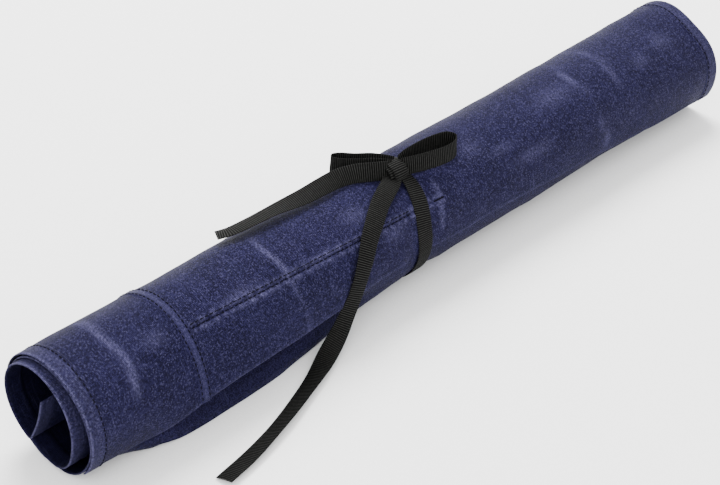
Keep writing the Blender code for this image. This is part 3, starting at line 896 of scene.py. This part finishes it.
def wear_and_glint_group():
    """Wax that has moved: slow dark and light patches and fine scratches; also painted glints of thread in
    specks.
    """
    tree, given, out = group(
        "wax_wear_and_glints",
        [("Vector", "NodeSocketVector"), ("Wear and painted light", "NodeSocketFloat")],
        [("Light", "NodeSocketFloat"), ("Patches", "NodeSocketFloat"), ("Glints", "NodeSocketFloat")],
    )
    where = given.outputs[0]
    broad = {"Vector": where, "Scale": 38.0, "Detail": 5.0, "Roughness": 0.62}
    slow = linked(tree, "ShaderNodeTexNoise", broad)
    close = {"Vector": where, "Scale": 900.0, "Detail": 3.0, "Roughness": 0.7}
    fine = linked(tree, "ShaderNodeTexNoise", close)
    stretched = {"Vector": where, "Scale": (60.0, 900.0, 1.0), "Rotation": (0.0, 0.0, 0.5)}
    long_way = linked(tree, "ShaderNodeMapping", stretched)
    lines = linked(tree, "ShaderNodeTexNoise", {"Vector": long_way.outputs[0], "Scale": 1.0, "Detail": 4.0})
    scratched = ramp(tree, lines.outputs[0], 0.60, 0.78)
    # Painted glints: tiny pale specks on the threads
    glint_cells = linked(tree, "ShaderNodeTexVoronoi", {"Vector": where, "Scale": 900.0, "Randomness": 1.0})
    glint_dot = ramp(tree, glint_cells.outputs["Distance"], 0.07, 0.12, 1.0, 0.0)
    sparse = ramp(tree, fine.outputs[0], 0.57, 0.66)
    broken = ramp(tree, fine.outputs[0], 0.36, 0.66)
    wear_and_painted_light_marks = calc(tree, "MULTIPLY", given.outputs[1], broken)
    light = calc(tree, "MAXIMUM", wear_and_painted_light_marks, calc(tree, "MULTIPLY", scratched, 0.16))
    tree.links.new(light, out.inputs["Light"])
    tree.links.new(ramp(tree, slow.outputs[0], 0.30, 0.70), out.inputs["Patches"])
    tree.links.new(calc(tree, "MULTIPLY", glint_dot, sparse), out.inputs["Glints"])
    return tree


def new_material(name):
    made = bpy.data.materials.new(name)
    made.use_nodes = True
    return made, made.node_tree, made.node_tree.nodes["Principled BSDF"]


def cloth_uv(tree):
    return linked(tree, "ShaderNodeUVMap", uv_map="cloth").outputs[0]


# Painted glints on the threads: tiny pale specks and the brightest crossings
GLINT_STRENGTH = 0.20
GLINT_COLOUR = (0.085, 0.080, 0.150, 1.0)


def waxed_cloth(name, weave, wear_and_glints, dark, light, pale_colour, threads, relief, roughness):
    """Woven, waxed cloth: painted shade in the gaps between threads and lighter thread tops, paler where
    rubbed and where a painted highlight is marked, and painted shade where the marks are below 0.
    """
    made, tree, shader = new_material(name)
    where = cloth_uv(tree)
    wear_and_painted_light_here = linked(tree, "ShaderNodeAttribute", attribute_name="wear_and_painted_light_marks").outputs["Fac"]
    threads_node = placed(tree, weave, {"Vector": where, "Threads per metre": threads, "Wander": 0.55})
    wax = placed(tree, wear_and_glints, {"Vector": where, "Wear and painted light": wear_and_painted_light_here})
    height, crossing, thread = (threads_node.outputs[label] for label in ("Height", "Crossing", "Thread"))
    tone = product(
        tree,
        # Painted shade: darker in the gaps between threads, lighter on their tops
        ramp(tree, height, 0.12, 0.85),
        ramp(tree, crossing, 0.0, 1.0, 0.30, 1.55),
        ramp(tree, thread, 0.0, 1.0, 0.75, 1.15),
        ramp(tree, wax.outputs["Patches"], 0.0, 1.0, 0.72, 1.12),
        # Painted shade where the marks are below 0: the inner face and the strip under the free edge
        ramp(tree, wear_and_painted_light_here, -1.0, -0.3, 0.22, 1.0),
    )
    colour = mixed(tree, tone, (*dark, 1.0), (*light, 1.0))
    # Paler where rubbed, and where the painted highlight beside the stitched row is marked
    pale = calc(tree, "MULTIPLY", wax.outputs["Light"], ramp(tree, height, 0.15, 0.8, 0.35, 1.0))
    colour = mixed(tree, pale, colour, (*pale_colour, 1.0))
    # Painted glints: the brightest crossings and the specks, kept off the painted shade
    crossing_glint = ramp(tree, crossing, 0.80, 1.0)
    glints = calc(tree, "MAXIMUM", wax.outputs["Glints"], crossing_glint)
    glints = product(tree, glints, GLINT_STRENGTH, ramp(tree, wear_and_painted_light_here, -0.3, 0.0))
    colour = mixed(tree, glints, colour, GLINT_COLOUR)
    tree.links.new(colour, shader.inputs["Base Color"])
    rough = ramp(tree, wax.outputs["Light"], 0.0, 1.0, roughness, roughness + 0.18)
    tree.links.new(rough, shader.inputs["Roughness"])
    shader.inputs["Specular IOR Level"].default_value = 0.04
    shader.inputs["Specular Tint"].default_value = (0.50, 0.48, 1.0, 1.0)
    bump = linked(tree, "ShaderNodeBump", {"Strength": 0.85, "Distance": relief, "Height": height})
    tree.links.new(bump.outputs[0], shader.inputs["Normal"])
    return made


def ribbon_look(weave):
    """Black ribbed ribbon: painted shade between its ribs and a painted highlight along their tops, fine
    threads across.
    """
    made, tree, shader = new_material("ribbed_ribbon")
    where = cloth_uv(tree)
    threads = placed(tree, weave, {"Vector": where, "Threads per metre": 2600.0, "Wander": 0.3})
    parts = linked(tree, "ShaderNodeSeparateXYZ", {0: where})
    phase = calc(tree, "MULTIPLY", parts.outputs[0], 2.0 * math.pi / RIB_PITCH)
    rib = ramp(tree, calc(tree, "COSINE", phase), 0.1, 1.0)
    soft = linked(tree, "ShaderNodeTexNoise", {"Vector": where, "Scale": 700.0, "Detail": 3.0})
    # Painted highlight along the rib tops and painted shade between them
    painted_rib_light = calc(tree, "MULTIPLY", rib, ramp(tree, threads.outputs["Height"], 0.1, 0.9, 0.45, 1.0))
    painted_rib_light = calc(tree, "MULTIPLY", painted_rib_light, ramp(tree, soft.outputs[0], 0.3, 0.7, 0.55, 1.15))
    colour = mixed(tree, painted_rib_light, (0.0002, 0.0002, 0.0002, 1.0), (0.0270, 0.0274, 0.0258, 1.0))
    tree.links.new(colour, shader.inputs["Base Color"])
    tree.links.new(ramp(tree, rib, 0.0, 1.0, 0.80, 0.55), shader.inputs["Roughness"])
    shader.inputs["Specular IOR Level"].default_value = 0.05
    fine = product(tree, threads.outputs["Height"], 0.4)
    tall = calc(tree, "ADD", product(tree, rib, 0.6), fine)
    bump = linked(tree, "ShaderNodeBump", {"Strength": 0.6, "Distance": 0.00016, "Height": tall})
    tree.links.new(bump.outputs[0], shader.inputs["Normal"])
    return made


def thread_look():
    """Waxed sewing thread: dark, with its plies twisted round it and painted shade between them."""
    made, tree, shader = new_material("sewing_thread")
    parts = linked(tree, "ShaderNodeSeparateXYZ", {0: cloth_uv(tree)})
    twist = calc(tree, "ADD", parts.outputs[0], parts.outputs[1])
    plies = calc(tree, "SINE", calc(tree, "MULTIPLY", twist, 2.0 * math.pi / 0.00042))
    share = ramp(tree, plies, -1.0, 1.0)
    # Painted shade between the plies, lighter on their tops
    colour = mixed(tree, share, (0.0004, 0.0004, 0.0010, 1.0), (0.0034, 0.0031, 0.0085, 1.0))
    tree.links.new(colour, shader.inputs["Base Color"])
    shader.inputs["Roughness"].default_value = 0.7
    shader.inputs["Specular IOR Level"].default_value = 0.05
    bump = linked(tree, "ShaderNodeBump", {"Strength": 0.5, "Distance": 0.00005, "Height": share})
    tree.links.new(bump.outputs[0], shader.inputs["Normal"])
    return made


def floor_look():
    made, tree, shader = new_material("pale_floor")
    grain = linked(tree, "ShaderNodeTexNoise", {"Scale": 900.0, "Detail": 2.0})
    tree.links.new(linked(tree, "ShaderNodeTexCoord").outputs["Object"], grain.inputs["Vector"])
    light = ramp(tree, grain.outputs[0], 0.3, 0.7)
    colour = mixed(tree, light, (0.86, 0.86, 0.86, 1.0), (0.90, 0.90, 0.90, 1.0))
    tree.links.new(colour, shader.inputs["Base Color"])
    shader.inputs["Roughness"].default_value = 0.9
    return made


# ---------------------------------------------------------------- camera, stage, light

def camera():
    """Above the near end and in front, a long lens along the roll's diagonal."""
    data = bpy.data.cameras.new("camera")
    data.lens = 95.0
    data.sensor_width = 36.0
    data.clip_start = 0.01
    data.clip_end = 20.0
    made = bpy.data.objects.new("camera", data)
    made.location = (-0.5558, -0.5224, 0.5523)
    made.rotation_euler = (math.radians(90.0 - 35.452), 0.0, math.radians(-45.335))
    bpy.context.scene.collection.objects.link(made)
    bpy.context.scene.camera = made


def area_light(name, place, size, power):
    """A round soft light at a place, aimed at the middle of the roll."""
    data = bpy.data.lights.new(name, "AREA")
    data.shape = "DISK"
    data.size = size
    data.energy = power
    made = bpy.data.objects.new(name, data)
    made.location = place
    way = np.array((0.0, 0.0, 0.02)) - np.array(place)
    flat = math.hypot(way[0], way[1])
    made.rotation_euler = (math.pi / 2 + math.atan2(way[2], flat), 0.0, math.atan2(-way[0], way[1]))
    bpy.context.scene.collection.objects.link(made)


def studio():
    """The pale floor, an even white surround, and two soft lights."""
    half = 6.0
    corners = np.array([(-half, -half, 0.0), (half, -half, 0.0), (half, half, 0.0), (-half, half, 0.0)])
    mesh = bpy.data.meshes.new("floor")
    mesh.from_pydata((corners - (0.0, 0.0, 0.0002)).tolist(), [], [(0, 1, 2, 3)])
    floor = bpy.data.objects.new("floor", mesh)
    bpy.context.scene.collection.objects.link(floor)
    floor.data.materials.append(floor_look())
    world = bpy.data.worlds.new("studio")
    world.use_nodes = True
    sky = world.node_tree.nodes["Background"]
    sky.inputs["Color"].default_value = (1.0, 1.0, 1.0, 1.0)
    sky.inputs["Strength"].default_value = 2.2
    bpy.context.scene.world = world
    area_light("key", (0.55, 0.75, 1.35), 1.0, 68.0)
    area_light("front", (-0.9, -0.7, 0.9), 1.2, 14.0)


# ---------------------------------------------------------------- assembly

def ride_with(made, node):
    """A piece that stays with the roll, in place of one node."""
    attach(made, "roll")
    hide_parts(node)


def free_ribbon(name, route, node, body, start, reach, far_end, look, **shape):
    """A tail or a loop: a flat cord that bends out of the knot, in place of its node."""
    made, centre, length = ribbon_piece(name, in_metres(route), look, **shape)
    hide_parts(node)
    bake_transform(made)


def build():
    """Every piece in place of its node; those that stay with the roll are on its body."""
    camera()
    weave, wear_and_glints = weave_group(), wear_and_glint_group()
    canvas_look = waxed_cloth(
        "waxed_canvas", weave, wear_and_glints, (0.0010, 0.0009, 0.0034), (0.0175, 0.0160, 0.0520),
        (0.125, 0.118, 0.235), 1.0 / THREAD_PITCH, 0.00022, 0.58,
    )
    lining_look = waxed_cloth(
        "pocket_canvas", weave, wear_and_glints, (0.0022, 0.0019, 0.0075), (0.0110, 0.0100, 0.0360),
        (0.030, 0.028, 0.070), 1900.0, 0.00015, 0.70,
    )
    tape_look = waxed_cloth(
        "seam_tape", weave, wear_and_glints, (0.0024, 0.0022, 0.0080), (0.0160, 0.0146, 0.0500),
        (0.085, 0.080, 0.170), 2600.0, 0.00010, 0.50,
    )
    thread = thread_look()
    ribbon = ribbon_look(weave)

    free_ribbon("front_tail", TAIL_FRONT, "ribbon_tail_front", "tail_front", (-0.0160, -0.0075, 0.0584),
                (-0.0060, -0.0040, -0.0018), "bare", ribbon, cup=0.0003)
    free_ribbon("left_tail", TAIL_LEFT, "ribbon_tail_left", "tail_left", (-0.0150, -0.0056, 0.0610),
                (-0.0080, 0.0040, 0.0004), "bare", ribbon, cup=0.0003)
    free_ribbon("right_loop", LOOP_RIGHT, "bow_loop_right", "loop_right", (-0.0030, -0.0070, 0.0605),
                (0.0070, 0.0, 0.0), "object", ribbon)
    free_ribbon("left_loop", LOOP_LEFT, "bow_loop_left", "loop_left", (-0.0145, -0.0005, 0.0612),
                (-0.0045, 0.0050, 0.0), "object", ribbon)
    wrap, _, _ = ribbon_piece("tie_wrap", wrap_route(), ribbon)
    ride_with(wrap, "ribbon_wrap")
    ride_with(bow_knot(ribbon), "bow_knot")

    canvas, canvas_length = rolled_canvas(canvas_look)
    ride_with(canvas, "canvas_panel")
    lining, lining_length = pocket_lining(lining_look)
    ride_with(lining, "pocket_panel")
    ride_with(band_tape(tape_look), "seam_band")

    hem_row = HEM_WIDTH - 0.0012
    near = ring_stitches("near_hem_stitches", NEAR_X + hem_row, -0.00002, thread)
    far = ring_stitches("far_hem_stitches", FAR_X - hem_row, -0.00002, thread)
    ride_with(near, "near_hem_stitching")
    ride_with(far, "far_hem_stitching")
    for label, x in (("near", BAND_NEAR_X + 0.0008), ("far", BAND_FAR_X - 0.0008)):
        row = ring_stitches(f"band_stitches_{label}", x, 0.50 * BAND_RISE, thread)
        ride_with(row, f"seam_band_stitching_{label}")
    for side, shift in (("front", 0.0), ("back", BACK_DIVIDER_SHIFT)):
        row = divider_stitches(f"{side}_divider_stitches", shift, thread)
        ride_with(row, f"divider_stitching_{side}")
    ride_with(bar_tack(thread), "divider_bar_tack")
    studio()


build()
